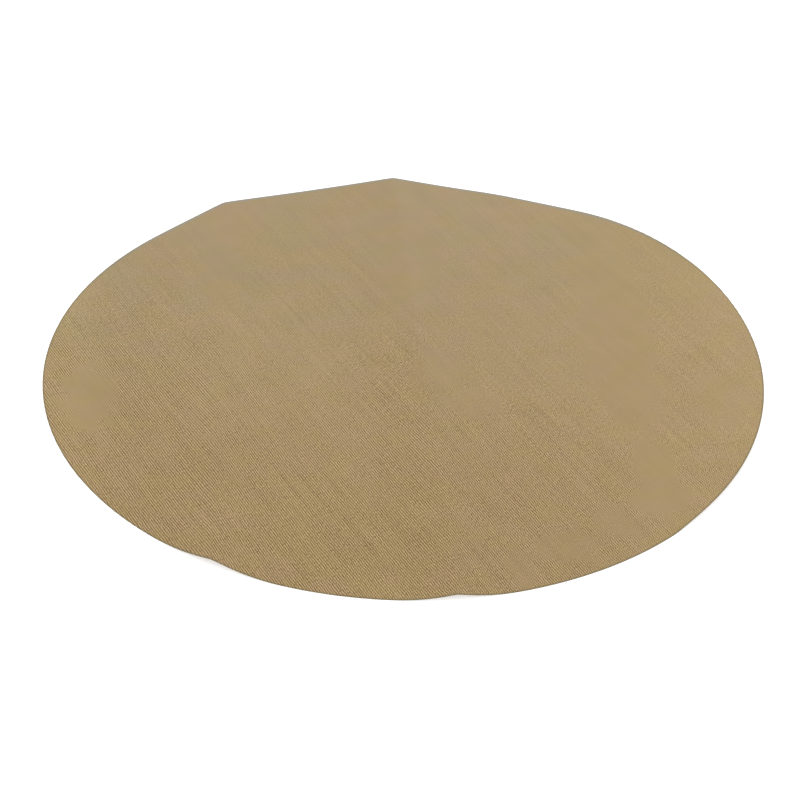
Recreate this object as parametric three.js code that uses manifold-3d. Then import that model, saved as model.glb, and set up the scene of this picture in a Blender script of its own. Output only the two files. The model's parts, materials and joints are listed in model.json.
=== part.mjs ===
// A round non-stick baking mat: woven glass cloth with a coating on both faces, cut round.
// It was stored folded in half and in half again, so three creases cross it.
// Millimetres, +Z up. The creases run about along Y, and the mat lies on the plane z = 0.
import * as THREE from "three";
import { mergeVertices } from "three/addons/utils/BufferGeometryUtils.js";
import Module from "manifold-3d";

const wasm = await Module();
wasm.setup();

// Round outline
const DISC_RADIUS = 100;
const RIM_SEGMENTS = 144;

// Laminate, from the table up: coating, cloth, coating, with a thin bond line between the layers
const COATING_THICKNESS = 0.03;
const CLOTH_THICKNESS = 0.13;
const BOND_LINE = 0.005;

// Creases: the first fold lies a little right of the centre. The second fold was pressed through both
// halves at once, a little askew in degrees, so its two creases mirror each other.
const MIDDLE_CREASE_X = 5;
const CREASE_SPACING = 56.7;
const SECOND_FOLD_SKEW = 2.35;
const CREASE_SLIT = 0.3;

// The left and middle creases stand up as ridges, whose flanks run out level on the table. Each is part
// of a cone with its apex in front of the near rim. Heights and runs are those at the far rim.
const LEFT_RIDGE_HEIGHT = 2.3;
const LEFT_RIDGE_OUTER_RUN = 20.5;
const LEFT_RIDGE_INNER_RUN = 24.5;
const LEFT_RIDGE_APEX_OUTSIDE = 420;
const MIDDLE_RIDGE_HEIGHT = 2.6;
const MIDDLE_RIDGE_RIGHT_RUN = 26.5;
const MIDDLE_RIDGE_APEX_OUTSIDE = 250;
const LEVEL_BETWEEN_RIDGES = 0.4;

// The right crease is a valley: the flap beyond it springs up and draws the panel's edge up with it.
// Its cone has its apex just in front of the near rim, so the flap opens towards the far rim.
const FLAP_LIFT = 5.9;
const FLAP_RUN = 68;
const FLAP_CURL = 2.65;
const FLAP_FOOT_HEIGHT = 1.2;
const FLAP_FOOT_RUN = 17.5;
const FLAP_APEX_OUTSIDE = 7;

// Flat facets on each flank of the formed sheet
const FLANK_STEPS = 8;

const LAYERS = [
  { name: "bottom_coating", thickness: COATING_THICKNESS, colour: 0xa38c66, roughness: 0.42 },
  { name: "glass_cloth", thickness: CLOTH_THICKNESS, colour: 0xb9a77f, roughness: 0.8 },
  { name: "top_coating", thickness: COATING_THICKNESS, colour: 0xa9936e, roughness: 0.42 },
];

const LEAN = Math.tan(THREE.MathUtils.degToRad(SECOND_FOLD_SKEW));
const HALF_SLIT = CREASE_SLIT / 2;
const LEFT = { x: MIDDLE_CREASE_X - CREASE_SPACING, lean: LEAN, apexOutside: LEFT_RIDGE_APEX_OUTSIDE };
const MIDDLE = { x: MIDDLE_CREASE_X, lean: 0, apexOutside: MIDDLE_RIDGE_APEX_OUTSIDE };
const RIGHT = { x: MIDDLE_CREASE_X + CREASE_SPACING, lean: -LEAN, apexOutside: FLAP_APEX_OUTSIDE };

// What the left ridge's inner flank leaves of the left panel, at the far rim where it is narrowest.
const MIDDLE_RIDGE_LEFT_RUN =
  CREASE_SPACING - LEAN * DISC_RADIUS - LEFT_RIDGE_INNER_RUN - LEVEL_BETWEEN_RIDGES - CREASE_SLIT;

// Heights along a flank, from its crease at 0 to its end at 1.
const runOut = (height) => (along) => height * (1 - along) ** 2;
const springUp = (along) =>
  FLAP_FOOT_HEIGHT + (FLAP_LIFT - FLAP_FOOT_HEIGHT) * (1 - (1 - along) ** FLAP_CURL);

// The sheet on each side of each crease. A flank to the left of its crease has a negative run.
const FLANKS = {
  leftOuter: { crease: LEFT, run: -LEFT_RIDGE_OUTER_RUN, height: runOut(LEFT_RIDGE_HEIGHT) },
  leftInner: { crease: LEFT, run: LEFT_RIDGE_INNER_RUN, height: runOut(LEFT_RIDGE_HEIGHT) },
  middleLeft: { crease: MIDDLE, run: -MIDDLE_RIDGE_LEFT_RUN, height: runOut(MIDDLE_RIDGE_HEIGHT) },
  middleRight: { crease: MIDDLE, run: MIDDLE_RIDGE_RIGHT_RUN, height: runOut(MIDDLE_RIDGE_HEIGHT) },
  flapFoot: { crease: RIGHT, run: -FLAP_FOOT_RUN, height: runOut(FLAP_FOOT_HEIGHT) },
  flap: { crease: RIGHT, run: FLAP_RUN, height: springUp },
};

// Where a crease passes y.
function creaseAt(crease, y) {
  return crease.x + crease.lean * y;
}

// Size of a crease's cone at y, as a share of its size at the far rim.
function coneSize(crease, y) {
  return (y + DISC_RADIUS + crease.apexOutside) / (2 * DISC_RADIUS + crease.apexOutside);
}

// A bend line of a flank: step 0 is the slit's edge, and all the lines run to the apex of the cone.
function bendLine(flank, step) {
  const edge = Math.sign(flank.run) * HALF_SLIT;
  const out = (flank.run * step) / FLANK_STEPS;
  return (y) => creaseAt(flank.crease, y) + edge + out * coneSize(flank.crease, y);
}

// Height of one flank above the table. It is straight between bend lines, so every facet is flat.
function flankHeight(flank, x, y) {
  const size = coneSize(flank.crease, y);
  const out = (x - creaseAt(flank.crease, y)) * Math.sign(flank.run);
  if (out < 0) {
    return 0;
  }
  const along = THREE.MathUtils.clamp((out - HALF_SLIT) / (Math.abs(flank.run) * size), 0, 1);
  const step = Math.min(Math.floor(along * FLANK_STEPS), FLANK_STEPS - 1);
  const from = flank.height(step / FLANK_STEPS);
  const to = flank.height((step + 1) / FLANK_STEPS);
  return size * THREE.MathUtils.lerp(from, to, along * FLANK_STEPS - step);
}

// Height of the sheet's underside above the table.
function sheetHeight(x, y) {
  return Object.values(FLANKS).reduce((height, flank) => height + flankHeight(flank, x, y), 0);
}

// The bend lines of a flank, from its crease outwards.
function flankLines(flank) {
  return Array.from({ length: FLANK_STEPS + 1 }, (_, step) => bendLine(flank, step));
}

// The panels between the creases, as lines from left to right. The flaps reach past the rim.
const PAST_RIM = DISC_RADIUS + FLAP_RUN;
const PANELS = [
  { name: "left_flap", lines: [() => -PAST_RIM, ...flankLines(FLANKS.leftOuter).reverse()] },
  {
    name: "left_panel",
    lines: [...flankLines(FLANKS.leftInner), ...flankLines(FLANKS.middleLeft).reverse()],
  },
  {
    name: "right_panel",
    lines: [...flankLines(FLANKS.middleRight), ...flankLines(FLANKS.flapFoot).reverse()],
  },
  { name: "right_flap", lines: [...flankLines(FLANKS.flap), () => PAST_RIM] },
];

// A closed three.js geometry as a solid that can be cut.
function toSolid(geometry) {
  const bare = geometry.clone();
  bare.deleteAttribute("normal");
  bare.deleteAttribute("uv");
  const merged = mergeVertices(bare);
  const mesh = new wasm.Mesh({
    numProp: 3,
    vertProperties: new Float32Array(merged.getAttribute("position").array),
    triVerts: new Uint32Array(merged.getIndex().array),
  });
  return new wasm.Manifold(mesh);
}

// A cut solid as a three.js geometry.
function toGeometry(solid) {
  const mesh = solid.getMesh();
  const geometry = new THREE.BufferGeometry();
  geometry.setAttribute("position", new THREE.BufferAttribute(new Float32Array(mesh.vertProperties), 3));
  geometry.setIndex(new THREE.BufferAttribute(new Uint32Array(mesh.triVerts), 1));
  geometry.computeVertexNormals();
  return geometry;
}

// The round die that cuts the sheet.
function roundDie() {
  const die = new THREE.CylinderGeometry(DISC_RADIUS, DISC_RADIUS, 2 * DISC_RADIUS, RIM_SEGMENTS);
  die.rotateX(Math.PI / 2);
  return toSolid(die);
}

// One layer of one panel: a strip drawn line by line, formed to the sheet's height and cut by the die.
function formedLayer(lines, bottom, thickness, die) {
  const underside = lines.map((_, place) => new THREE.Vector2(place, bottom));
  const topside = lines.map((_, place) => new THREE.Vector2(place, bottom + thickness)).reverse();
  const section = new THREE.Shape([...underside, ...topside]);
  const depth = 2 * DISC_RADIUS;
  const strip = new THREE.ExtrudeGeometry(section, { depth, bevelEnabled: false });
  strip.rotateX(Math.PI / 2);
  strip.translate(0, DISC_RADIUS, 0);
  const position = strip.getAttribute("position");
  for (let i = 0; i < position.count; i += 1) {
    const y = position.getY(i);
    const x = lines[Math.round(position.getX(i))](y);
    position.setXYZ(i, x, y, position.getZ(i) + sheetHeight(x, y));
  }
  return toGeometry(toSolid(strip).intersect(die));
}

const mat = new THREE.Group();
mat.name = "baking_mat";
const die = roundDie();
for (const panel of PANELS) {
  const panelGroup = new THREE.Group();
  let bottom = 0;
  for (const layer of LAYERS) {
    const material = new THREE.MeshStandardMaterial({
      color: layer.colour,
      roughness: layer.roughness,
      metalness: 0,
    });
    const mesh = new THREE.Mesh(formedLayer(panel.lines, bottom, layer.thickness, die), material);
    mesh.name = `${panel.name}_${layer.name}`;
    panelGroup.add(mesh);
    bottom += layer.thickness + BOND_LINE;
  }
  mat.add(panelGroup);
}

export default mat;
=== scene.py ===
# %% [markdown]
# # A creased round baking mat
#
# The object is one thin round sheet: plain-woven glass cloth with a tan non-stick coating on both
# faces. It was stored folded in half and in half again, so three straight creases cross it. Two of
# them stand up as low ridges, and beyond the third the rim springs up a little.
#
# The sheet is all there is, so the lesson is about three things: forming a thin sheet by a rule,
# laying real ribs of yarn into its mesh, and writing a cloth finish that stays on the cloth when
# the mat is folded.

# %% Load the packed frame
import json
import math
from collections import namedtuple

import bpy
from mathutils import Matrix, Vector

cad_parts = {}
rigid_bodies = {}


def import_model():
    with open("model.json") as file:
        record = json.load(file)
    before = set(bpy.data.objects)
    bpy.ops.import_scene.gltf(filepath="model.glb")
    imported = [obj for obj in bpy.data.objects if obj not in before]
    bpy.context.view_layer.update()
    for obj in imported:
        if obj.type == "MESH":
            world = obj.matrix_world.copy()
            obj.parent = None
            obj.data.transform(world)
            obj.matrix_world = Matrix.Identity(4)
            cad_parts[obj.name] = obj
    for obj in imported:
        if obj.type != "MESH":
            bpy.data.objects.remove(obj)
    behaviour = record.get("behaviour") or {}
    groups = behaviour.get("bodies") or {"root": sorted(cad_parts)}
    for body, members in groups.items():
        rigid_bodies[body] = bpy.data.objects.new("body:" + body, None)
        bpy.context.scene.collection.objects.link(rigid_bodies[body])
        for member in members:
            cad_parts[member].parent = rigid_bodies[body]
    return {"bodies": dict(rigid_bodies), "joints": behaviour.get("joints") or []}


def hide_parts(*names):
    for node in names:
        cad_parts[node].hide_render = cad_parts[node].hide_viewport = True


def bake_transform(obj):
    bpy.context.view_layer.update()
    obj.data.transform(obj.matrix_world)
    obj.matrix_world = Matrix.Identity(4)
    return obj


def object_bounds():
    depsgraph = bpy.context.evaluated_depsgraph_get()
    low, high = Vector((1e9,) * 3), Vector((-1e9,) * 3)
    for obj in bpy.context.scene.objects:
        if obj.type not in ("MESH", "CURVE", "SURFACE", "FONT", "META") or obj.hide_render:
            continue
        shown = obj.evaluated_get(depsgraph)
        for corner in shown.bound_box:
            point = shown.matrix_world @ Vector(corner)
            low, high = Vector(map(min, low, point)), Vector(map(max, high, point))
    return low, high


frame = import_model()
cad_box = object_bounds()
print("bodies:", ", ".join(frame["bodies"]))

# %% [markdown]
# ## The disc and its creases
#
# All sizes are in metres, in the frame of the packed model: X runs across the creases, Y along
# them, and the mat lies on the plane z = 0. The places of the creases could be written here once
# more, but the sheet has to bend exactly where its joints are. So the radius and the creases are
# read from the frame, the radius to a whole millimetre.

# %% The disc and its creases
MM = 0.001
DISC_RADIUS = round(cad_box[1].x / MM) * MM
SHEET_THICKNESS = 0.2 * MM

Crease = namedtuple("Crease", "x lean apex_outside")


def crease_of(fold, apex_outside):
    """The crease along a joint's axis. Its bend lines run to an apex outside the near rim."""
    joint = next(joint for joint in frame["joints"] if joint["name"] == fold)
    across, along, _ = joint["axis"]
    return Crease(joint["pos_m"][0], across / along, apex_outside)


LEFT = crease_of("left_crease_fold", 420 * MM)
MIDDLE = crease_of("middle_crease_fold", 250 * MM)
RIGHT = crease_of("right_crease_fold", 7 * MM)
print(f"disc of {2 * DISC_RADIUS / MM:.0f} mm")
for crease in (LEFT, MIDDLE, RIGHT):
    print(f"crease at {crease.x / MM:.1f} mm, lean {math.degrees(math.atan(crease.lean)):.2f} degrees")

# %% [markdown]
# ## A small language for node trees
#
# Node trees are easier to read as sums than as lists of links. `Wire` wraps an output socket, and
# arithmetic on wires adds Math nodes. `Board` wraps a tree and adds any other node: its settings
# are set first, because they decide which sockets the node has. The same two classes serve
# geometry and shaders.

# %% Wires
def wired(operation, swap=False):
    """An operator that adds one Math node, with its operands swapped for a reflected form."""
    def operator(self, *others):
        operands = [self, *others]
        return self.board.node("ShaderNodeMath", {"operation": operation},
                               operands[::-1] if swap else operands)
    return operator


class Wire:
    """A value that flows between nodes."""

    def __init__(self, board, socket):
        self.board = board
        self.socket = socket

    __add__ = __radd__ = wired("ADD")
    __mul__ = __rmul__ = wired("MULTIPLY")
    __sub__, __rsub__ = wired("SUBTRACT"), wired("SUBTRACT", swap=True)
    __truediv__, __rtruediv__ = wired("DIVIDE"), wired("DIVIDE", swap=True)
    __pow__, __rpow__ = wired("POWER"), wired("POWER", swap=True)
    __gt__, __lt__ = wired("GREATER_THAN"), wired("LESS_THAN")
    at_least, at_most = wired("MAXIMUM"), wired("MINIMUM")
    sqrt, cos, absolute = wired("SQRT"), wired("COSINE"), wired("ABSOLUTE")

    def within(self, low, high):
        return self.at_least(low).at_most(high)

    def step(self, low, high):
        """0 below low, 1 above high, and a smooth rise between them."""
        return self.board.node("ShaderNodeMapRange", {"interpolation_type": "SMOOTHSTEP"},
                               {"Value": self, "From Min": low, "From Max": high})


print("operations on a wire:", ", ".join(name for name, value in vars(Wire).items() if callable(value)))

# %% Boards
NOISE_MEAN = 0.5


class Board:
    """A node tree that nodes are added to."""

    def __init__(self, tree):
        self.tree = tree

    def node(self, kind, settings=None, sockets=None, out=0):
        """Adds a node, sets its settings, then its sockets by name or place. Returns an output."""
        node = self.tree.nodes.new(kind)
        for name, value in (settings or {}).items():
            setattr(node, name, value)
        given = dict(enumerate(sockets)) if isinstance(sockets, list) else sockets or {}
        for key, value in given.items():
            live = [socket for socket in node.inputs if socket.enabled]
            socket = live[key] if isinstance(key, int) else next(s for s in live if s.name == key)
            if isinstance(value, Wire):
                self.tree.links.new(value.socket, socket)
            else:
                socket.default_value = value
        outputs = [socket for socket in node.outputs if socket.enabled]
        if not outputs:
            return None
        return Wire(self, outputs[out] if isinstance(out, int) else node.outputs[out])

    def split(self, vector):
        """The three numbers of a vector."""
        first = self.node("ShaderNodeSeparateXYZ", {}, [vector])
        return [Wire(self, socket) for socket in first.socket.node.outputs]

    def join(self, x, y, z):
        return self.node("ShaderNodeCombineXYZ", {}, [x, y, z])

    def noise(self, x, y, width, length=None, detail=2.0, seed=0.0):
        """Smooth noise from 0 to 1, with features about as wide in x and as long in y as given."""
        return self.node("ShaderNodeTexNoise", {"noise_dimensions": "3D"},
                         {"Vector": self.join(x / width, y / (length or width), seed),
                          "Scale": 1.0, "Detail": detail})

    def swing(self, x, y, **pattern):
        """The same noise, around 0."""
        return self.noise(x, y, **pattern) - NOISE_MEAN


trial = bpy.data.node_groups.new("trial", "GeometryNodeTree")
flipped = 1 - Board(trial).noise(0.0, 0.0, width=1.0)
print(f"1 - noise takes {len(trial.nodes)} nodes and ends in a {flipped.socket.node.bl_label} node")
bpy.data.node_groups.remove(trial)

# %% [markdown]
# ## The sheet's form
#
# A real mat takes its form from its creases. Each ridge is a fold that has opened again, with
# flanks that run out flat, and beyond the right crease a flap springs up. A thin sheet bends but
# doesn't stretch, so each crease is part of a cone. Its apex lies in front of the near rim, and
# the fold is highest and widest at the far rim. The second fold was pressed through both halves a
# little askew, so the two outer creases lean as mirror images of each other.
#
# The form could be sculpted, or a cloth simulation could fold it, but a written rule gives the
# same form as the solids, to a tenth of a millimetre. The crease lines are rounded, because a
# coated cloth never folds to a knife edge. Heights and runs are those at the far rim.

# %% Ridges
CREASE_ROUNDING = 0.8 * MM
LEFT_RIDGE_HEIGHT, LEFT_RIDGE_RUNS = 2.3 * MM, (20.5 * MM, 24.5 * MM)
MIDDLE_RIDGE_HEIGHT, MIDDLE_RIDGE_RUNS = 2.6 * MM, (27.4 * MM, 26.5 * MM)


def cone(crease, y):
    """Size of a crease's cone at y, as a share of its size at the far rim."""
    return (y + DISC_RADIUS + crease.apex_outside) / (2 * DISC_RADIUS + crease.apex_outside)


def past(crease, x, y):
    """How far to the right of a crease a point lies."""
    return x - crease.x - crease.lean * y


def ridge(x, y, crease, height, runs):
    """Height of a ridge: full at its crease, with a parabola down each side."""
    size = cone(crease, y)
    out = past(crease, x, y)
    run = runs[0] + (out > 0) * (runs[1] - runs[0])
    away = ((out * out + CREASE_ROUNDING ** 2).sqrt() - CREASE_ROUNDING) / (run * size)
    return height * size * (1 - away.at_most(1)) ** 2


print(f"left ridge: {LEFT_RIDGE_HEIGHT * cone(LEFT, -DISC_RADIUS) / MM:.1f} mm high at the near rim")
print(f"middle ridge: {MIDDLE_RIDGE_HEIGHT * cone(MIDDLE, -DISC_RADIUS) / MM:.1f} mm high there")

# %% The flap
FLAP_LIFT = 5.9 * MM
FLAP_RUN = 68 * MM
FLAP_CURL = 2.65
FLAP_FOOT_HEIGHT = 1.2 * MM
FLAP_FOOT_RUN = 17.5 * MM
VALLEY_ROUNDING = 3 * MM


def flap(x, y):
    """Lift of the right flap, and of the panel's edge that it draws up with it."""
    size = cone(RIGHT, y)
    out = past(RIGHT, x, y)
    soft = (out * out + (VALLEY_ROUNDING * size) ** 2).sqrt()
    beyond = ((soft + out) / 2 / (FLAP_RUN * size)).at_most(1)
    before = ((soft - out) / 2 / (FLAP_FOOT_RUN * size)).at_most(1)
    spring = (FLAP_LIFT - FLAP_FOOT_HEIGHT) * (1 - (1 - beyond) ** FLAP_CURL)
    return size * (spring + FLAP_FOOT_HEIGHT * (1 - before) ** 2)


def sheet_height(x, y):
    """Height of the sheet's lower face above the table."""
    return (ridge(x, y, LEFT, LEFT_RIDGE_HEIGHT, LEFT_RIDGE_RUNS)
            + ridge(x, y, MIDDLE, MIDDLE_RIDGE_HEIGHT, MIDDLE_RIDGE_RUNS)
            + flap(x, y))


print(f"flap: its cone is {cone(RIGHT, 0):.0%} of its far size at the middle of the crease")

# %% [markdown]
# ## Ribs of yarn
#
# Close up, the cloth shows fine slanting ribs, one for each yarn, and picks that cross them. They
# are counted over the disc, because a weaver sets a cloth up that way. Real yarns wander a little.
#
# A bump map could draw the ribs, but then the mesh itself would be smooth. A plain fine grid would
# need millions of faces. So the grid is turned: its columns run along the ribs, a few to each rib,
# and its rows run along the creases. It is fine only across the ribs and near the crease, where
# the sheet bends.
#
# Vertices that would lie outside the disc slide along their rib to the rim. The faces that this
# flattens are merged away, so the rim is cut clean through every rib, as a die cuts it.

# %% Ribs and picks
TURN = 2 * math.pi
RIBS, PICKS = 306, 280
RIB_PITCH, PICK_PITCH = 2 * DISC_RADIUS / RIBS, 2 * DISC_RADIUS / PICKS
RIB_ANGLE = math.radians(24.1)
COS, SIN = math.cos(RIB_ANGLE), math.sin(RIB_ANGLE)
WANDER_IN_YARNS = 1.2
RIB_WANDER = {"width": 22 * MM, "detail": 1, "seed": 3.0}
PICK_WANDER = {"width": 18 * MM, "detail": 1, "seed": 9.0}


def rib_count(board, x, y):
    """How many ribs lie between the centre and a point."""
    return (x * COS + y * SIN) / RIB_PITCH + WANDER_IN_YARNS * board.swing(x, y, **RIB_WANDER)


def pick_count(board, x, y):
    """How many picks lie between the centre and a point."""
    return (x * SIN - y * COS) / PICK_PITCH + WANDER_IN_YARNS * board.swing(x, y, **PICK_WANDER)


def valley(ribs):
    """0 on the crown of a rib and 1 in the valley beside it, for a count of ribs."""
    return (1 - (ribs * TURN).cos()) / 2


print(f"a rib every {RIB_PITCH / MM:.3f} mm, a pick every {PICK_PITCH / MM:.3f} mm")

# %% The rib grid
SAMPLES_PER_RIB = 6
SAMPLE = RIB_PITCH / SAMPLES_PER_RIB
ROWS = 45
ROWS_AT_CREASE = 0.12
ROW_CROWDING = 1.2
YARN_NOTCH = 0.05 * MM


def grid_row(row, sizes):
    """Where a row from -1 to 1 crosses the disc's middle, and its lean. Rows crowd at the crease."""
    reach_left = sizes["Crease X"] - sizes["From X"]
    reach_right = sizes["To X"] - sizes["Crease X"]
    reach = reach_left + (row > 0) * (reach_right - reach_left)
    crowded = row * (ROWS_AT_CREASE + (1 - ROWS_AT_CREASE) * row.absolute() ** ROW_CROWDING)
    return sizes["Crease X"] + crowded * reach, sizes["Crease Lean"] * (1 - row.absolute())


def half_chord(across, sizes):
    """Half the length of a rib. At the rim the valleys between yarns are cut back a little."""
    radius = sizes["Disc Radius"] - YARN_NOTCH * valley(across / RIB_PITCH)
    return (radius * radius - across * across).at_least(0).sqrt()


def rib_grid(board, sizes):
    """The turned grid, clipped to the disc and to one strip of the mat. Returns x and y."""
    column, row, _ = board.split(board.node("GeometryNodeInputPosition"))
    across = ((column + sizes["Middle Sample"]) * SAMPLE).within(sizes["Rib From"], sizes["Rib To"])
    row_x, row_lean = grid_row(row, sizes)
    chord = half_chord(across, sizes)
    along = (across * (COS - row_lean * SIN) - row_x) / (SIN + row_lean * COS)
    along = along.within(-1 * chord, chord)
    along = along.within((across * COS - sizes["To X"]) / SIN, (across * COS - sizes["From X"]) / SIN)
    return across * COS - along * SIN, across * SIN + along * COS


print(f"columns {SAMPLE / MM:.3f} mm apart, {ROWS} rows in a strip")

# %% [markdown]
# ## Where the coating is smooth
#
# The coating isn't even. Where the mat was pressed in its folds, and in some spots near the rim, it
# fills the valleys between the yarns, and the weave hardly shows. These places could be painted by
# hand, but a few bands and ovals with ragged edges are a rule that two readers can share: the ribs
# of the mesh fade there, and later the finish does too. Spots, bands and patches are given in
# millimetres on the flat cloth.

# %% Ovals with ragged edges
Spot = namedtuple("Spot", "x y half_width half_length")
SPOT_EDGE = (0.3, 1.3)
PATCHES = {"width": 5.0, "seed": 51.0}
PATCH_EDGE = (0.33, 0.66)


def patches(board, x, y):
    """Ragged patches from 0 to 1, a few millimetres across."""
    return board.noise(x, y, **PATCHES).step(*PATCH_EDGE)


def oval(x, y, spot, ragged=0.0):
    """1 in an oval spot, fading to 0 around it. A ragged value shifts its edge in and out."""
    across, along = (x - spot.x) / spot.half_width, (y - spot.y) / spot.half_length
    return 1 - (across * across + along * along + ragged).step(*SPOT_EDGE)


def ovals(x, y, spots, ragged=0.0):
    """1 in any of several oval spots."""
    first, *others = [oval(x, y, spot, ragged) for spot in spots]
    for other in others:
        first = first.at_least(other)
    return first


print(f"patches about {PATCHES['width']:.0f} mm across")

# %% Smooth places
SMOOTH_SPOTS = (Spot(-87, -10, 9, 19), Spot(62, 18, 10.5, 66), Spot(62, -50, 6.5, 18),
                Spot(62, -63, 9, 7))
FAINT_SPOTS = (Spot(85, -23, 8, 12), Spot(10, -3, 8, 13), Spot(17, -18, 9, 9), Spot(49, -72, 7, 6),
               Spot(35, -82, 8, 8), Spot(22, -89, 5, 9))
FAINT_SHARE = 0.7
RAGGEDNESS = 0.6

Band = namedtuple("Band", "crease half_width start_y")
SMOOTH_BANDS = (Band(MIDDLE, 10, 36), Band(LEFT, 7, 45))
BAND_EDGE = (0.4, 1.3)
BAND_FADE_BEFORE, BAND_FADE_AFTER = 30, 15


def smooth_band(x, y, band):
    """1 along a crease, where pressing has smoothed the weave, from its start to the far rim."""
    out = (x - band.crease.x / MM - band.crease.lean * y).absolute()
    inner, outer = (band.half_width * share for share in BAND_EDGE)
    started = y.step(band.start_y - BAND_FADE_BEFORE, band.start_y + BAND_FADE_AFTER)
    return (1 - out.step(inner, outer)) * started


def smoothness(board, x, y):
    """1 where the coating hides the weave, and 0 where it follows every yarn."""
    ragged = RAGGEDNESS * (patches(board, x, y) - NOISE_MEAN)
    smooth = ovals(x, y, SMOOTH_SPOTS, ragged)
    smooth = smooth.at_least(FAINT_SHARE * ovals(x, y, FAINT_SPOTS, ragged))
    for band in SMOOTH_BANDS:
        smooth = smooth.at_least(smooth_band(x, y, band))
    return smooth


print(f"{len(SMOOTH_SPOTS)} smooth spots, {len(FAINT_SPOTS)} faint ones, {len(SMOOTH_BANDS)} bands")

# %% [markdown]
# ## The Geometry Nodes tree
#
# The tree turns a plain grid into one finished strip of the mat. It lays the grid out, stores the
# flat place of every point and its yarn counts as attributes for the finish, and forms the sheet.
# Then it raises a second face from the first and closes the two at the rim, so the strip has its
# real thickness. The valleys between the ribs are pressed in from both faces. The same could be
# done with mesh code, but a tree can be opened and tried with other sizes.

# %% The flat cloth
STRIP_INPUTS = ("Disc Radius", "Sheet Thickness", "Rib Depth", "From X", "Crease X", "Crease Lean",
                "To X", "Rib From", "Rib To", "Middle Sample", "Columns")
ROW_SPAN = 2.0
MERGE_DISTANCE = 0.001 * MM
FLAT_PLACE, YARN_COUNT = "flat_cloth", "yarn_count"


def store(board, geometry, name, vector):
    return board.node("GeometryNodeStoreNamedAttribute",
                      {"data_type": "FLOAT_VECTOR", "domain": "POINT"},
                      {"Geometry": geometry, "Name": name, "Value": vector})


def moved(board, geometry, sockets):
    return board.node("GeometryNodeSetPosition", {}, {"Geometry": geometry, **sockets})


def merged(board, geometry):
    return board.node("GeometryNodeMergeByDistance", {},
                      {"Geometry": geometry, "Distance": MERGE_DISTANCE})


def flat_cloth(board, sizes):
    """The strip as it was cut, with every point's place and yarn counts stored on it."""
    grid = board.node("GeometryNodeMeshGrid", {},
                      {"Size X": sizes["Columns"] - 1, "Size Y": ROW_SPAN,
                       "Vertices X": sizes["Columns"], "Vertices Y": ROWS})
    x, y = rib_grid(board, sizes)
    flat = merged(board, moved(board, grid, {"Position": board.join(x, y, 0.0)}))
    flat = board.node("GeometryNodeFlipFaces", {}, [flat])
    x, y, _ = board.split(board.node("GeometryNodeInputPosition"))
    counts = board.join(rib_count(board, x, y), pick_count(board, x, y), 0.0)
    flat = store(board, flat, FLAT_PLACE, board.join(x / MM, y / MM, 0.0))
    return store(board, flat, YARN_COUNT, counts)


print(f"{len(STRIP_INPUTS)} sizes go in, and {FLAT_PLACE} and {YARN_COUNT} are stored")

# %% Two faces
RIB_DEPTH = 0.03 * MM
SMOOTH_FILLS = 0.8


def valley_depth(board, x, y, sizes):
    """How deep the valleys between the ribs are pressed in at a point."""
    counts = board.node("GeometryNodeInputNamedAttribute", {"data_type": "FLOAT_VECTOR"},
                        {"Name": YARN_COUNT})
    depth = sizes["Rib Depth"] * (1 - SMOOTH_FILLS * smoothness(board, x / MM, y / MM))
    return valley(board.split(counts)[0]) * depth


def two_faces(board, flat, sizes):
    """The formed sheet at its real thickness, closed at the rim."""
    x, y, _ = board.split(board.node("GeometryNodeInputPosition"))
    lower = moved(board, flat, {"Position": board.join(x, y, sheet_height(x, y))})
    upper = board.node("GeometryNodeExtrudeMesh", {"mode": "FACES"},
                       {"Mesh": lower, "Offset": board.join(0.0, 0.0, 1.0),
                        "Offset Scale": sizes["Sheet Thickness"], "Individual": False})
    upper_face = Wire(board, upper.socket.node.outputs["Top"])
    depth = valley_depth(board, x, y, sizes)
    up, down = board.join(0.0, 0.0, depth), board.join(0.0, 0.0, -1 * depth)
    upper = moved(board, upper, {"Selection": upper_face, "Offset": down})
    upper = moved(board, upper, {"Selection": 1 - upper_face, "Offset": up})
    lower = board.node("GeometryNodeFlipFaces", {}, [moved(board, lower, {"Offset": up})])
    both = board.node("GeometryNodeJoinGeometry")
    for face in (upper, lower):
        board.tree.links.new(face.socket, both.socket.node.inputs[0])
    return merged(board, both)


print(f"ribs {RIB_DEPTH / MM:.2f} mm deep on each face of a sheet of {SHEET_THICKNESS / MM:.1f} mm")

# %% The whole tree
CRISP_ANGLE = math.radians(50)


def shaded(board, sheet):
    """Smooth shading, with crisp edges at the rim."""
    smooth = board.node("GeometryNodeSetShadeSmooth", {"domain": "FACE"},
                        {"Geometry": sheet, "Shade Smooth": True})
    crisp = board.node("GeometryNodeInputMeshEdgeAngle") > CRISP_ANGLE
    return board.node("GeometryNodeSetShadeSmooth", {"domain": "EDGE"},
                      {"Geometry": smooth, "Selection": crisp, "Shade Smooth": False})


def strip_tree():
    """The tree that makes one strip, with a named input for each of its sizes."""
    tree = bpy.data.node_groups.new("creased_strip", "GeometryNodeTree")
    tree.interface.new_socket("Geometry", in_out="OUTPUT", socket_type="NodeSocketGeometry")
    for name in STRIP_INPUTS:
        tree.interface.new_socket(name, in_out="INPUT", socket_type="NodeSocketFloat")
    tree.interface.new_socket("Finish", in_out="INPUT", socket_type="NodeSocketMaterial")
    board = Board(tree)
    given = board.node("NodeGroupInput").socket.node.outputs
    sizes = {name: Wire(board, given[name]) for name in STRIP_INPUTS}
    sheet = shaded(board, two_faces(board, flat_cloth(board, sizes), sizes))
    real = board.node("GeometryNodeRealizeInstances", {}, [sheet])
    done = board.node("GeometryNodeSetMaterial", {},
                      {"Geometry": real, "Material": Wire(board, given["Finish"])})
    board.node("NodeGroupOutput", {}, [done])
    return tree


STRIP_TREE = strip_tree()
print(f"creased_strip: {len(STRIP_TREE.nodes)} nodes")

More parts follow.
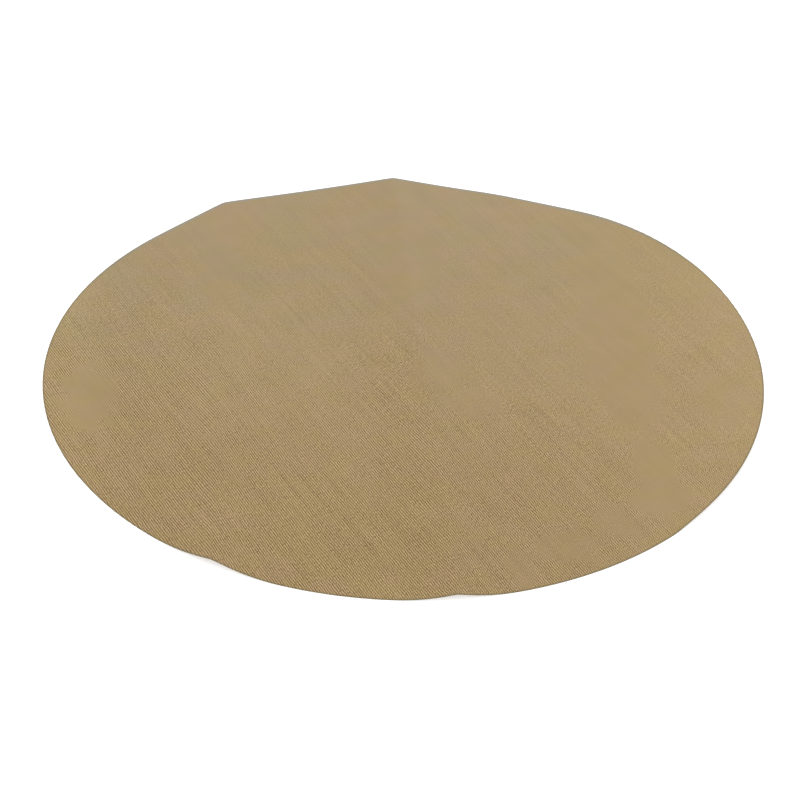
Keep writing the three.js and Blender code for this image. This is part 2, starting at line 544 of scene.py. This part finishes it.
# %% [markdown]
# ## The coated cloth
#
# The coating is a thin, slightly see-through skin, so the finish is mostly the cloth's: the crowns
# of the yarns are pale, and the valleys between them hold more coating and are darker. Beads where
# yarns cross, flecks, and streaks along single yarns break the ribs up, because no two yarns are
# alike.
#
# A picture of cloth could be wrapped round the sheet, but a written pattern stays sharp from any
# distance. It reads the attributes that the tree stored on the flat cloth, so it folds with it.

# %% Read the cloth
Cloth = namedtuple("Cloth", "board x y right far ribs picks")


def attribute(board, name):
    """The three numbers of an attribute that the tree stored."""
    return board.split(board.node("ShaderNodeAttribute", {"attribute_name": name}, {}, "Vector"))


def read_cloth(board):
    """A point of the cloth: its flat place, the same as shares of the radius, and its yarn counts."""
    x, y, _ = attribute(board, FLAT_PLACE)
    ribs, picks, _ = attribute(board, YARN_COUNT)
    radius = DISC_RADIUS / MM
    return Cloth(board, x, y, x / radius, y / radius, ribs, picks)


print("a point of the cloth has", ", ".join(Cloth._fields[1:]))

# %% Patterns of the yarns
# Widths are in ribs and lengths in millimetres along them, unless a name says otherwise.
STREAK = {"width": 4, "length": 150, "seed": 21.0}
FINE_STREAK = {"width": 1.3, "length": 25, "seed": 31.0}
THREAD, THREAD_EDGE = {"width": 1.8, "length": 90, "seed": 23.0}, (0.55, 0.75)
FLECK_OF_RIBS_AND_PICKS = {"width": 0.7, "length": 1.1, "seed": 71.0}
CLOUD_IN_MM = {"width": 10.0, "seed": 41.0}
WAVER_IN_MM, WAVER_IN_RIBS = {"width": 3.5, "seed": 81.0}, 0.8

Yarns = namedtuple("Yarns", "rib pick streak fine_streak thread fleck cloud")


def yarn_patterns(cloth):
    """The waves of the weave and what sets single yarns apart. All but thread swing around 0."""
    noise, swing = cloth.board.noise, cloth.board.swing
    along = cloth.y * COS - cloth.x * SIN
    waver = swing(cloth.x, cloth.y, **WAVER_IN_MM)
    return Yarns(
        rib=((cloth.ribs + WAVER_IN_RIBS * waver) * TURN).cos(),
        pick=(cloth.picks * TURN).cos(),
        streak=swing(cloth.ribs, along, **STREAK),
        fine_streak=swing(cloth.ribs, along, **FINE_STREAK),
        thread=noise(cloth.ribs, along, **THREAD).step(*THREAD_EDGE),
        fleck=swing(cloth.ribs, cloth.picks, **FLECK_OF_RIBS_AND_PICKS),
        cloud=swing(cloth.x, cloth.y, **CLOUD_IN_MM))


print("patterns:", ", ".join(Yarns._fields))

# %% [markdown]
# ## How much of the weave shows
#
# The weave shows where the coating is thin. That is in front, in a few bare spots and on the flap,
# and least towards the far rim. Ribs read as lines in front, and break up into flecks behind. A
# weight map could be painted on the mesh, but it would be only as fine as the vertices. A slope over
# the disc with a few ovals added says the same in a handful of numbers.

# %% How much of the weave shows
THIN_CENTRE, THIN_LOST_RIGHT, THIN_LOST_FAR, THIN_KEPT_FAR_RIGHT = 0.49, 0.26, 0.50, 0.30
THIN_ON_FLAP, FLAP_EDGE = 0.15, (66, 76)
THIN_IN_SPOTS, THIN_LEAST = 0.22, 0.06
BARE_SPOTS = (Spot(28, -42, 44, 28), Spot(-76, 12, 26, 36), Spot(-2, -6, 10, 28))
LINES_LOST, LINES_SLANT, LINES_EDGE = 0.6, 0.45, (-0.38, 0.0)


def thinness(cloth):
    """How thin the coating is, from nearly 0 to 1."""
    right, far = cloth.right, cloth.far
    thin = THIN_CENTRE - THIN_LOST_RIGHT * right - THIN_LOST_FAR * far
    thin = thin + THIN_KEPT_FAR_RIGHT * right * far + THIN_ON_FLAP * cloth.x.step(*FLAP_EDGE)
    return (thin + THIN_IN_SPOTS * ovals(cloth.x, cloth.y, BARE_SPOTS)).within(THIN_LEAST, 1)


def rib_lines(cloth):
    """1 where ribs read as lines, and less where they break up into flecks."""
    return 1 - LINES_LOST * (cloth.far + LINES_SLANT * cloth.right).step(*LINES_EDGE)


print(f"{len(BARE_SPOTS)} bare spots")

# %% [markdown]
# ## Tone, tint and rim
#
# The finish is put together as a dyer would judge it: first light and dark, then the hue, then the
# edge. The tone runs from the colour of a valley to that of a crown. Painted light is added to it:
# the tone grows lighter towards the right, with a painted pool of light on the left and a painted
# shade in front. The coating's tint drifts a little between olive and rose, and is cooler behind.
# The cut rim is darker, and greyer at the far side. A colour ramp for each part could do it too,
# but then light and hue couldn't be adjusted one by one.

# %% Light and dark
RIB_TONE, BEAD_TONE, RAGGED_RIB_TONE, PICK_TONE = 0.5, 0.62, 1.0, 0.08
YARN_TONE, FLECK_TONE, FLECK_TONE_LOST_IN_LINES = 0.4, 2.4, 0.8
STREAK_TONE, CLOUD_TONE, FINE_STREAK_TONE = 0.08, 0.11, 0.06
THREAD_TONE, THREAD_SHARE = 0.035, 0.2
# Painted light: the base colour grows lighter towards the right, as if that side were lit more. The
# left edge is made lighter as well.
PAINTED_LIGHT_RIGHT, LEFT_TONE, LEFT_EDGE = 0.11, 0.09, (75, 95)
# A painted pool of light on the left, and a painted shade in front.
PAINTED_LIGHT_TONE, PAINTED_LIGHT_SPOT = 0.025, Spot(-48, 8, 34, 40)
PAINTED_SHADE_TONE, PAINTED_SHADE_SPOT = 0.03, Spot(18, -74, 40, 30)


def weave_tone(cloth, yarns):
    """Light and dark of the bare weave, around 0."""
    lines = rib_lines(cloth)
    ribs = (RIB_TONE * lines + BEAD_TONE * yarns.pick + RAGGED_RIB_TONE * yarns.fleck) * yarns.rib
    flecks = (FLECK_TONE - FLECK_TONE_LOST_IN_LINES * lines) * yarns.fleck
    return ribs + PICK_TONE * yarns.pick + YARN_TONE * yarns.fine_streak + flecks


def coating_and_painted_light_tone(cloth, yarns, bare):
    """Coating tone around 0, plus painted light at the right and in a spot, and painted shade."""
    broad = STREAK_TONE * yarns.streak + CLOUD_TONE * yarns.cloud
    threads = FINE_STREAK_TONE * yarns.fine_streak - THREAD_TONE * (yarns.thread - THREAD_SHARE)
    # Painted light: lighter towards the right.
    right = PAINTED_LIGHT_RIGHT * cloth.right.at_least(0) * cloth.right
    left = LEFT_TONE * (-1 * cloth.x).step(*LEFT_EDGE)
    # A painted pool of light and a painted shade.
    light = PAINTED_LIGHT_TONE * oval(cloth.x, cloth.y, PAINTED_LIGHT_SPOT)
    dark = PAINTED_SHADE_TONE * oval(cloth.x, cloth.y, PAINTED_SHADE_SPOT)
    return broad + bare * threads + right + left + light - dark


print(f"one light spot at {PAINTED_LIGHT_SPOT[:2]} mm and one dark spot at {PAINTED_SHADE_SPOT[:2]} mm")

# %% Tint
OLIVE, ROSE = (0.98, 1.0, 0.80, 1.0), (1.02, 0.99, 1.13, 1.0)
ROSE_DRIFT, ROSE_EDGE, ROSE_STRENGTH = {"width": 9.0, "detail": 1, "seed": 61.0}, (0.3, 0.7), 0.55
OLIVE_SPOTS = (Spot(78, 55, 26, 34), Spot(-30, 66, 14, 16), Spot(-18, -70, 30, 22))
OLIVE_IN_SPOTS = 0.6
COOL, WARM = (0.94, 1.0, 1.02, 1.0), (1.01, 1.0, 0.995, 1.0)
COOL_DRIFT, COOL_EDGE, COOL_STRENGTH = {"width": 18.0, "detail": 1, "seed": 91.0}, (0.35, 0.6), 0.8
COOL_SLANT, COOL_START = 0.3, (-0.1, 0.5)


def mixed(board, factor, first, second, blend="MIX"):
    return board.node("ShaderNodeMix", {"data_type": "RGBA", "blend_type": blend},
                      {"Factor": factor, "A": first, "B": second})


def tinted(cloth, colour):
    """The colour with the drift of the coating's tint."""
    board, x, y = cloth.board, cloth.x, cloth.y
    rose = board.noise(x, y, **ROSE_DRIFT).step(*ROSE_EDGE)
    rose = (rose - OLIVE_IN_SPOTS * ovals(x, y, OLIVE_SPOTS)).at_least(0)
    colour = mixed(board, ROSE_STRENGTH, colour, mixed(board, rose, OLIVE, ROSE), "MULTIPLY")
    cool = board.noise(x, y, **COOL_DRIFT).step(*COOL_EDGE)
    cool = cool * (cloth.far - COOL_SLANT * cloth.right).step(*COOL_START)
    return mixed(board, COOL_STRENGTH, colour, mixed(board, cool, WARM, COOL), "MULTIPLY")


print(f"{len(OLIVE_SPOTS)} olive spots")

# %% The cut rim
RIM_COLOUR, FAR_RIM_COLOUR = (0.105, 0.088, 0.022, 1.0), (0.25, 0.28, 0.27, 1.0)
RIM_EDGE, RIM_STRENGTH = (99.4, 99.75), 0.5
FAR_RIM_EDGE, FAR_RIM_WIDER = (0.3, 0.8), 0.7


def rimmed(cloth, colour):
    """The colour with the line of the cut rim, which is wider and greyer at the far side."""
    out = (cloth.x * cloth.x + cloth.y * cloth.y).sqrt()
    behind = cloth.far.step(*FAR_RIM_EDGE)
    rim = (out + FAR_RIM_WIDER * behind).step(*RIM_EDGE)
    rim_colour = mixed(cloth.board, behind, RIM_COLOUR, FAR_RIM_COLOUR)
    return mixed(cloth.board, rim * RIM_STRENGTH, colour, rim_colour)


print(f"rim line from {RIM_EDGE[0]} mm outwards, and from {RIM_EDGE[0] - FAR_RIM_WIDER:.1f} mm behind")

# %% [markdown]
# ## The finish as one material
#
# The tone and tint make the base colour. The gloss is a coat over it, stronger where the coating is
# thick and on the crowns. The skin could be a clear mesh over the cloth, but it is thinner than a
# hair, so a coat in the same shader shows it as well. A small bump adds the beads, which are finer
# than the mesh.

# %% The finish
VALLEY_COLOUR, CROWN_COLOUR = (0.141, 0.062, 0.0, 1.0), (0.583, 0.422, 0.190, 1.0)
MIDDLE_TONE = 0.5
SMOOTH_HIDES = 0.92
SHOWN_LEAST, SHOWN_IN_PATCHES = 0.66, 0.55
RIB_RELIEF, PICK_RELIEF, BEAD_RELIEF = 0.4, 0.2, 0.4
BUMP_STRENGTH, BUMP_HEIGHT = 0.5, 0.02 * MM
ROUGHNESS, RIB_POLISH, CLOUD_ROUGHNESS, ROUGHNESS_RANGE = 0.38, 0.06, 0.1, (0.2, 0.8)
COAT, COAT_LOST_IF_THIN, COAT_ON_RIBS = 0.58, 0.28, 0.6
COAT_ROUGHNESS, CLOTH_IOR = 0.3, 1.36


def new_material(name):
    """A material with an empty tree, and the board that it is built on."""
    material = bpy.data.materials.new(name)
    material.use_nodes = True
    material.node_tree.nodes.clear()
    return material, Board(material.node_tree)


def coated_cloth():
    """The finish of the whole mat, both faces and the rim."""
    material, board = new_material("coated_glass_cloth")
    cloth = read_cloth(board)
    yarns = yarn_patterns(cloth)
    thin = thinness(cloth)
    bare = 1 - SMOOTH_HIDES * smoothness(board, cloth.x, cloth.y)
    shown = thin * (SHOWN_LEAST + SHOWN_IN_PATCHES * patches(board, cloth.x, cloth.y)) * bare
    tone = MIDDLE_TONE + shown * weave_tone(cloth, yarns) + coating_and_painted_light_tone(cloth, yarns, bare)
    colour = mixed(board, tone.within(0, 1), VALLEY_COLOUR, CROWN_COLOUR)
    beads = yarns.rib * yarns.pick
    relief = RIB_RELIEF * yarns.rib + PICK_RELIEF * yarns.pick + BEAD_RELIEF * beads
    bump = board.node("ShaderNodeBump", {}, {"Strength": BUMP_STRENGTH, "Distance": BUMP_HEIGHT,
                                             "Height": relief * shown})
    crowns = yarns.rib * shown
    rough = ROUGHNESS - RIB_POLISH * crowns + CLOUD_ROUGHNESS * yarns.cloud
    shader = board.node("ShaderNodeBsdfPrincipled", {}, {
        "Base Color": rimmed(cloth, tinted(cloth, colour)),
        "Roughness": rough.within(*ROUGHNESS_RANGE),
        "IOR": CLOTH_IOR,
        "Coat Weight": (COAT - COAT_LOST_IF_THIN * thin) * (1 + COAT_ON_RIBS * crowns),
        "Coat Roughness": COAT_ROUGHNESS,
        "Normal": bump,
    })
    board.node("ShaderNodeOutputMaterial", {}, {"Surface": shader})
    return material


CLOTH_FINISH = coated_cloth()
print(f"coated_glass_cloth: {len(CLOTH_FINISH.node_tree.nodes)} nodes")

# %% [markdown]
# ## Three strips, one for each crease
#
# The mat is one sheet, but a sheet that bends at three creases can follow only one joint at a
# time. So it is made as three strips that meet halfway between the creases, where the sheet is
# level and never bends. Each strip holds one crease and bends across it.

# %% The strips
LEFT_SEAM_X = -22.75 * MM
RIGHT_SEAM_X = 36 * MM

Strip = namedtuple("Strip", "name from_x crease to_x panels")
STRIPS = (
    Strip("left_crease_sheet", -DISC_RADIUS, LEFT, LEFT_SEAM_X, ("left_flap", "left_panel")),
    Strip("middle_crease_sheet", LEFT_SEAM_X, MIDDLE, RIGHT_SEAM_X, ("left_panel", "right_panel")),
    Strip("right_crease_sheet", RIGHT_SEAM_X, RIGHT, DISC_RADIUS, ("right_panel", "right_flap")),
)


def rim_y(x):
    """Where the rim passes x, on the far side."""
    return math.sqrt(max(DISC_RADIUS ** 2 - x ** 2, 0))


def rib_range(from_x, to_x):
    """The lowest and highest place across the ribs that a strip reaches."""
    low = -DISC_RADIUS if from_x < -DISC_RADIUS * COS else from_x * COS - rim_y(from_x) * SIN
    high = DISC_RADIUS if to_x > DISC_RADIUS * COS else to_x * COS + rim_y(to_x) * SIN
    return low, high


def strip_values(strip):
    """What goes into the tree for one strip."""
    low, high = rib_range(strip.from_x, strip.to_x)
    first, last = math.floor(low / SAMPLE), math.ceil(high / SAMPLE)
    return {"Disc Radius": DISC_RADIUS, "Sheet Thickness": SHEET_THICKNESS, "Rib Depth": RIB_DEPTH,
            "From X": strip.from_x, "Crease X": strip.crease.x, "Crease Lean": strip.crease.lean,
            "To X": strip.to_x, "Rib From": low, "Rib To": high, "Middle Sample": (first + last) / 2,
            "Columns": float(last - first + 1), "Finish": CLOTH_FINISH}


for strip in STRIPS:
    print(f"{strip.name}: {strip_values(strip)['Columns']:.0f} columns")

# %% Make the strips
def placed(name, data):
    """A new object at the origin of the scene."""
    made = bpy.data.objects.new(name, data)
    bpy.context.scene.collection.objects.link(made)
    return made


def make_sheet(strip):
    """Runs the tree for one strip and keeps the result as a plain mesh."""
    source = placed(strip.name + "_source", bpy.data.meshes.new(strip.name + "_source"))
    modifier = source.modifiers.new("creased_strip", "NODES")
    modifier.node_group = STRIP_TREE
    values = strip_values(strip)
    for socket in STRIP_TREE.interface.items_tree:
        if socket.in_out == "INPUT":
            modifier[socket.identifier] = values[socket.name]
    evaluated = source.evaluated_get(bpy.context.evaluated_depsgraph_get())
    mesh = bpy.data.meshes.new_from_object(evaluated)
    bpy.data.objects.remove(source)
    mesh.name = strip.name
    mesh.calc_loop_triangles()
    print(f"{strip.name}: {len(mesh.vertices)} vertices, {len(mesh.loop_triangles)} triangles")
    return placed(strip.name, mesh)


sheets = [make_sheet(strip) for strip in STRIPS]

# %% [markdown]
# ## Strips in place of the panels
#
# Each strip stands for the solids that it covers, and their panels are hidden. It could be cut in
# two at the crease instead, but then a gap would open there as the mat folds. The area that each
# strip was cut to is printed.

# %% Hide the panels under the strips
LAYERS = ("bottom_coating", "glass_cloth", "top_coating")


def strip_area(strip):
    """Area of the disc between the two ends of a strip."""
    def up_to(x):
        return x * rim_y(x) + DISC_RADIUS ** 2 * math.asin(max(-1, min(1, x / DISC_RADIUS)))
    return up_to(strip.to_x) - up_to(strip.from_x)


def tie(sheet, strip):
    """Bakes a sheet's placement, hides the solids of its panels and prints the area of its strip."""
    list(strip.panels)
    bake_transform(sheet)
    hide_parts(*[f"{panel}_{layer}" for panel in strip.panels for layer in LAYERS])
    longest = 2 * rim_y(max(strip.from_x, min(strip.to_x, 0)))
    area = strip_area(strip)
    print(f"{sheet.name}: {area / MM ** 2:.0f} square millimetres")


for sheet, strip in zip(sheets, STRIPS):
    tie(sheet, strip)

# %% [markdown]
# ## Floor and light
#
# The mat lies on plain white. A white sky alone would look like that too, but it couldn't take a
# shadow. So the floor is a white surface, with a little light of its own for the camera, so that it
# reads as white. The light is a bright even sky and one large soft lamp. It hangs nearly overhead,
# so both flanks of a ridge are lit alike.

# %% Floor
FLOOR_HALF_SIZE = 3.0
FLOOR_DROP = 0.05 * MM
FLOOR_COLOUR = (0.86, 0.86, 0.86, 1)
FLOOR_GLOW = 0.6


def camera_like(board):
    """1 for rays that show the background: camera, mirror and glass rays."""
    path = board.node("ShaderNodeLightPath").socket.node.outputs
    camera, mirror, glass = [Wire(board, path[name]) for name in
                             ("Is Camera Ray", "Is Glossy Ray", "Is Transmission Ray")]
    return camera.at_least(mirror).at_least(glass)


def white_floor():
    """White paint that takes shadows, with a glow for the camera."""
    material, board = new_material("white_floor")
    paint = board.node("ShaderNodeBsdfDiffuse", {}, {"Color": FLOOR_COLOUR})
    glow = board.node("ShaderNodeEmission", {}, {"Strength": camera_like(board) * FLOOR_GLOW})
    surface = board.node("ShaderNodeAddShader", {}, [paint, glow])
    board.node("ShaderNodeOutputMaterial", {}, {"Surface": surface})
    return material


corners = [(x * FLOOR_HALF_SIZE, y * FLOOR_HALF_SIZE, -FLOOR_DROP)
           for x, y in ((-1, -1), (1, -1), (1, 1), (-1, 1))]
floor_mesh = bpy.data.meshes.new("floor")
floor_mesh.from_pydata(corners, [], [(0, 1, 2, 3)])
floor_mesh.materials.append(white_floor())
floor = placed("floor", floor_mesh)
print("floor:", 2 * FLOOR_HALF_SIZE, "m square")

# %% Light
SKY_COLOUR = (1, 1, 1, 1)
SKY_STRENGTH = 0.82
LAMP_POWER = 1.2
LAMP_SIZE = 0.6
LAMP_COLOUR = (1.0, 0.95, 0.88)
LAMP_PLACE = Vector((0.10, 0.20, 0.90))

world = bpy.data.worlds.new("studio")
world.use_nodes = True
world.node_tree.nodes.clear()
bpy.context.scene.world = world
sky_board = Board(world.node_tree)
sky_strength = SKY_STRENGTH + camera_like(sky_board) * (1 - SKY_STRENGTH)
sky = sky_board.node("ShaderNodeBackground", {}, {"Color": SKY_COLOUR, "Strength": sky_strength})
sky_board.node("ShaderNodeOutputWorld", {}, {"Surface": sky})

lamp_data = bpy.data.lights.new("softbox", "AREA")
lamp_data.energy = LAMP_POWER
lamp_data.color = LAMP_COLOUR
lamp_data.shape = "DISK"
lamp_data.size = LAMP_SIZE
lamp = placed("softbox", lamp_data)
lamp.location = LAMP_PLACE
lamp.rotation_mode = "QUATERNION"
lamp.rotation_quaternion = (-LAMP_PLACE).to_track_quat("-Z", "Y")
bpy.context.scene.view_settings.view_transform = "Standard"
print("lamp:", LAMP_POWER, "W, sky:", SKY_STRENGTH)

# %% [markdown]
# ## Camera
#
# The photograph looks down on the mat from the front, with a long lens. The view could be set by
# eye, but the outline of a round mat tells the angle well. So the numbers come from fitting that
# outline and the slant of the ribs. The camera was held with a small roll.

# %% Camera
LENS, SENSOR_WIDTH = 109.33, 36
NEAREST_SEEN = 10 * MM
AZIMUTH = math.radians(-5.740)
ELEVATION = math.radians(35.586)
ROLL = math.radians(1.774)
DISTANCE = 666.6 * MM
TARGET = Vector((-2.217 * MM, -15.08 * MM, 0))

back = Vector((math.sin(AZIMUTH) * math.cos(ELEVATION), -math.cos(AZIMUTH) * math.cos(ELEVATION),
               math.sin(ELEVATION)))
level = Vector((math.cos(AZIMUTH), math.sin(AZIMUTH), 0))
upright = back.cross(level)
to_right = math.cos(ROLL) * level + math.sin(ROLL) * upright
to_top = math.cos(ROLL) * upright - math.sin(ROLL) * level
camera_data = bpy.data.cameras.new("camera")
camera_data.lens = LENS
camera_data.sensor_width = SENSOR_WIDTH
camera_data.clip_start = NEAREST_SEEN
camera = placed("camera", camera_data)
turned = Matrix((to_right, to_top, back)).transposed().to_4x4()
camera.matrix_world = Matrix.Translation(TARGET + DISTANCE * back) @ turned
bpy.context.scene.camera = camera
print("camera at", [round(c, 4) for c in camera.matrix_world.translation])

# %% [markdown]
# ## Sizes
#
# The sheets stand for the solids, so they have to fill the same box.
